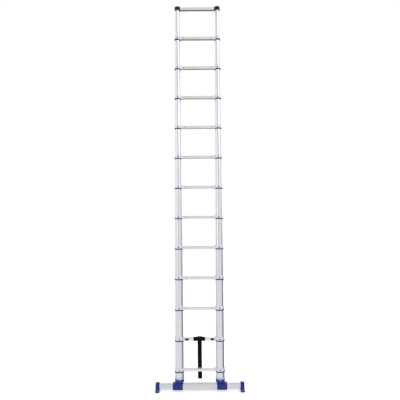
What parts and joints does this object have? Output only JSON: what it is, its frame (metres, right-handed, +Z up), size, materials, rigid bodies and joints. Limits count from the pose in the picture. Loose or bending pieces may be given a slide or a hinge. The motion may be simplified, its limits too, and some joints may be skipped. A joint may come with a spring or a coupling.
{
  "type": "telescopic ladder",
  "caption": "Telescopic aluminium ladder, fully extended, with sliding tube sections, collars, release buttons, strap and a stabiliser bar with end feet.",
  "frame": {"origin": "on the floor, midway between the feet and on the centre plane of the tubes", "axes": "+Z up along the tubes, +X to the right seen from the front, front faces -Y"},
  "size_m": [0.867, 0.1, 3.8035],
  "materials": {
    "tube_aluminium": "satin anodised",
    "rung_aluminium": "satin extruded",
    "blue_plastic": "moulded, fine grain",
    "navy_plastic": "moulded, satin",
    "black_plastic": "moulded, satin",
    "black_webbing": "woven webbing",
    "dark_rubber": "matt",
    "steel": "zinc plated"
  },
  "bodies": {
    "base": {"rung_01": "rung_aluminium", "rung_02": "rung_aluminium", "left_stile_01": "tube_aluminium", "right_stile_01": "tube_aluminium", "left_stile_02": "tube_aluminium", "right_stile_02": "tube_aluminium", "stabiliser_bar": "rung_aluminium", "stabiliser_crossbar": "rung_aluminium", "left_bracket": "blue_plastic", "right_bracket": "blue_plastic", "left_bracket_bolt": "steel", "right_bracket_bolt": "steel", "left_foot": "blue_plastic", "right_foot": "blue_plastic", "left_foot_sole": "dark_rubber", "right_foot_sole": "dark_rubber", "left_pin_spring": "steel", "right_pin_spring": "steel", "strap": "black_webbing", "strap_cuff": "black_webbing"},
    "left_latch": {"left_release_button": "black_plastic", "left_lock_pin": "steel"},
    "right_latch": {"right_release_button": "black_plastic", "right_lock_pin": "steel"},
    "section_3": {"rung_03": "rung_aluminium", "left_stile_03": "tube_aluminium", "right_stile_03": "tube_aluminium"},
    "section_4": {"rung_04": "rung_aluminium", "left_stile_04": "tube_aluminium", "right_stile_04": "tube_aluminium"},
    "section_5": {"rung_05": "rung_aluminium", "left_stile_05": "tube_aluminium", "right_stile_05": "tube_aluminium"},
    "section_6": {"rung_06": "rung_aluminium", "left_stile_06": "tube_aluminium", "right_stile_06": "tube_aluminium"},
    "section_7": {"rung_07": "rung_aluminium", "left_stile_07": "tube_aluminium", "right_stile_07": "tube_aluminium"},
    "section_8": {"rung_08": "rung_aluminium", "left_stile_08": "tube_aluminium", "right_stile_08": "tube_aluminium"},
    "section_9": {"rung_09": "rung_aluminium", "left_stile_09": "tube_aluminium", "right_stile_09": "tube_aluminium"},
    "section_10": {"rung_10": "rung_aluminium", "left_stile_10": "tube_aluminium", "right_stile_10": "tube_aluminium"},
    "section_11": {"rung_11": "rung_aluminium", "left_stile_11": "tube_aluminium", "right_stile_11": "tube_aluminium"},
    "section_12": {"rung_12": "rung_aluminium", "left_stile_12": "tube_aluminium", "right_stile_12": "tube_aluminium"},
    "section_13": {"rung_13": "rung_aluminium", "left_stile_13": "tube_aluminium", "right_stile_13": "tube_aluminium", "left_top_cap": "navy_plastic", "right_top_cap": "navy_plastic"}
  },
  "joints": [
    {"name": "section_3_slide", "type": "slide", "parent": "base", "child": "section_3", "axis": [0, 0, -1], "range_m": [0, 0.256]},
    {"name": "section_4_slide", "type": "slide", "parent": "section_3", "child": "section_4", "axis": [0, 0, -1], "range_m": [0, 0.256]},
    {"name": "section_5_slide", "type": "slide", "parent": "section_4", "child": "section_5", "axis": [0, 0, -1], "range_m": [0, 0.256]},
    {"name": "section_6_slide", "type": "slide", "parent": "section_5", "child": "section_6", "axis": [0, 0, -1], "range_m": [0, 0.256]},
    {"name": "section_7_slide", "type": "slide", "parent": "section_6", "child": "section_7", "axis": [0, 0, -1], "range_m": [0, 0.256]},
    {"name": "section_8_slide", "type": "slide", "parent": "section_7", "child": "section_8", "axis": [0, 0, -1], "range_m": [0, 0.256]},
    {"name": "section_9_slide", "type": "slide", "parent": "section_8", "child": "section_9", "axis": [0, 0, -1], "range_m": [0, 0.256]},
    {"name": "section_10_slide", "type": "slide", "parent": "section_9", "child": "section_10", "axis": [0, 0, -1], "range_m": [0, 0.256]},
    {"name": "section_11_slide", "type": "slide", "parent": "section_10", "child": "section_11", "axis": [0, 0, -1], "range_m": [0, 0.256]},
    {"name": "section_12_slide", "type": "slide", "parent": "section_11", "child": "section_12", "axis": [0, 0, -1], "range_m": [0, 0.256]},
    {"name": "section_13_slide", "type": "slide", "parent": "section_12", "child": "section_13", "axis": [0, 0, -1], "range_m": [0, 0.256]},
    {"name": "left_release_slide", "type": "slide", "parent": "base", "child": "left_latch", "axis": [1, 0, 0], "range_m": [0, 0.012], "stiffness_N_per_m": 600, "springref_m": -0.006, "deforming": ["left_pin_spring"]},
    {"name": "right_release_slide", "type": "slide", "parent": "base", "child": "right_latch", "axis": [-1, 0, 0], "range_m": [0, 0.012], "stiffness_N_per_m": 600, "springref_m": -0.006, "deforming": ["right_pin_spring"]}
  ]
}
